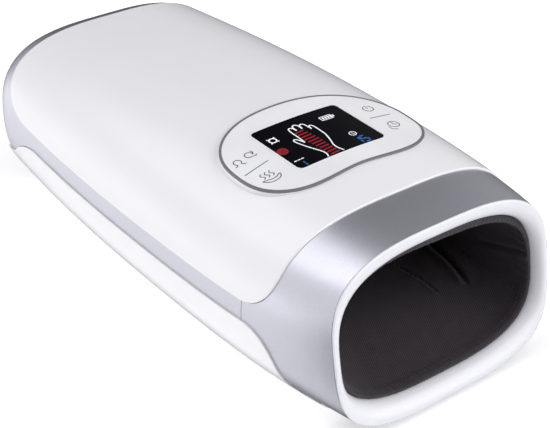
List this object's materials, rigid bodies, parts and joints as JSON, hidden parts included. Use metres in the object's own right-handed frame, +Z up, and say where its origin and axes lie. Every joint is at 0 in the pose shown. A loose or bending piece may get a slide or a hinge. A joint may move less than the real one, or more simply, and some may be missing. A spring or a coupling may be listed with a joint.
{
  "type": "hand massager",
  "caption": "Air-compression hand massager: a rounded housing with a leaning mouth, fabric-lined hand tunnel, pressing pads, a touch panel with display, and a pump inside.",
  "frame": {"origin": "on the surface it stands on, under the middle of the object's bounding box", "axes": "+Z up, -Y the mouth that the hand goes into, +Y the tail with the power inlet, +X to the right when seen from the tail"},
  "size_m": [0.1698, 0.3359, 0.1039],
  "materials": {
    "gloss_white": "gloss",
    "base_white": "satin gloss",
    "silver_paint": "metallic silver-grey paint",
    "bezel_white": "satin gloss",
    "inner_plastic": "plain moulded",
    "lining_fabric": "fine ribbed knit",
    "pad_foam": "open foam",
    "heating_film": "printed film",
    "airbag_film": "smooth film",
    "panel_silver": "fine metallic satin",
    "trim_grey": "satin",
    "window_glass": "clear tinted",
    "display_black": "gloss",
    "circuit_board": "solder mask",
    "touch_rubber": "matte",
    "screw_steel": "zinc plated",
    "ribbon": "flexible",
    "foot_rubber": "matte",
    "inlet_black": "plain moulded",
    "motor_steel": "plated",
    "magnet_iron": "ferrite",
    "bearing_brass": "sintered",
    "tube_rubber": "silicone",
    "cell_wrap": "shrink wrap"
  },
  "bodies": {
    "housing": {"top_cover": "gloss_white", "base_shell": "base_white", "front_collar": "silver_paint", "rear_band": "silver_paint", "mouth_bezel": "bezel_white", "hand_tunnel": "inner_plastic", "fabric_liner": "lining_fabric", "upper_airbag": "airbag_film", "lower_airbag": "airbag_film", "control_panel": "panel_silver", "panel_trim_ring": "trim_grey", "display_window": "window_glass", "lcd_module": "display_black", "display_board": "circuit_board", "touch_posts": "touch_rubber", "display_board_screws": "screw_steel", "ribbon_cable": "ribbon", "main_board": "circuit_board", "main_board_screws": "screw_steel", "housing_screws": "screw_steel", "rubber_feet": "foot_rubber", "dc_inlet": "inlet_black", "pump_motor_can": "motor_steel", "motor_end_cap": "inlet_black", "motor_magnets": "magnet_iron", "pump_bearings": "bearing_brass", "crankcase": "inner_plastic", "swash_plate": "inner_plastic", "diaphragm": "touch_rubber", "pump_head": "inner_plastic", "pump_screws": "screw_steel", "pump_cradle": "foot_rubber", "valve_manifold": "inner_plastic", "valve_bodies": "motor_steel", "pump_tube": "tube_rubber", "upper_air_tube": "tube_rubber", "lower_air_tube": "tube_rubber", "battery_cells": "cell_wrap", "battery_tray": "inner_plastic"},
    "upper_press": {"upper_pad": "pad_foam"},
    "heated_press": {"heated_pad": "pad_foam", "heating_film": "heating_film"},
    "rotor": {"pump_rotor": "motor_steel"},
    "upper_valve": {"upper_valve_plunger": "motor_steel"},
    "relief_valve": {"relief_valve_plunger": "motor_steel"},
    "lower_valve": {"lower_valve_plunger": "motor_steel"}
  },
  "joints": [
    {"name": "upper_press_slide", "type": "slide", "parent": "housing", "child": "upper_press", "axis": [0, 0, -1], "range_m": [0, 0.012], "stiffness_N_per_m": 600, "springref_m": -0.003, "deforming": ["upper_airbag", "fabric_liner"]},
    {"name": "heated_press_slide", "type": "slide", "parent": "housing", "child": "heated_press", "axis": [0, 0, 1], "range_m": [0, 0.012], "stiffness_N_per_m": 600, "springref_m": -0.003, "deforming": ["lower_airbag"]},
    {"name": "pump_rotor_spin", "type": "hinge", "parent": "housing", "child": "rotor", "pos_m": [-0.015, 0.092, 0.0265], "axis": [1, 0, 0], "continuous": true},
    {"name": "upper_valve_slide", "type": "slide", "parent": "housing", "child": "upper_valve", "axis": [0, 1, 0], "range_m": [0, 0.0015], "stiffness_N_per_m": 300, "springref_m": -0.001},
    {"name": "relief_valve_slide", "type": "slide", "parent": "housing", "child": "relief_valve", "axis": [0, 1, 0], "range_m": [0, 0.0015], "stiffness_N_per_m": 300, "springref_m": -0.001},
    {"name": "lower_valve_slide", "type": "slide", "parent": "housing", "child": "lower_valve", "axis": [0, 1, 0], "range_m": [0, 0.0015], "stiffness_N_per_m": 300, "springref_m": -0.001}
  ],
  "couplings": [
    {"joint": "heated_press_slide", "follows": "upper_press_slide", "ratio": 1}
  ]
}
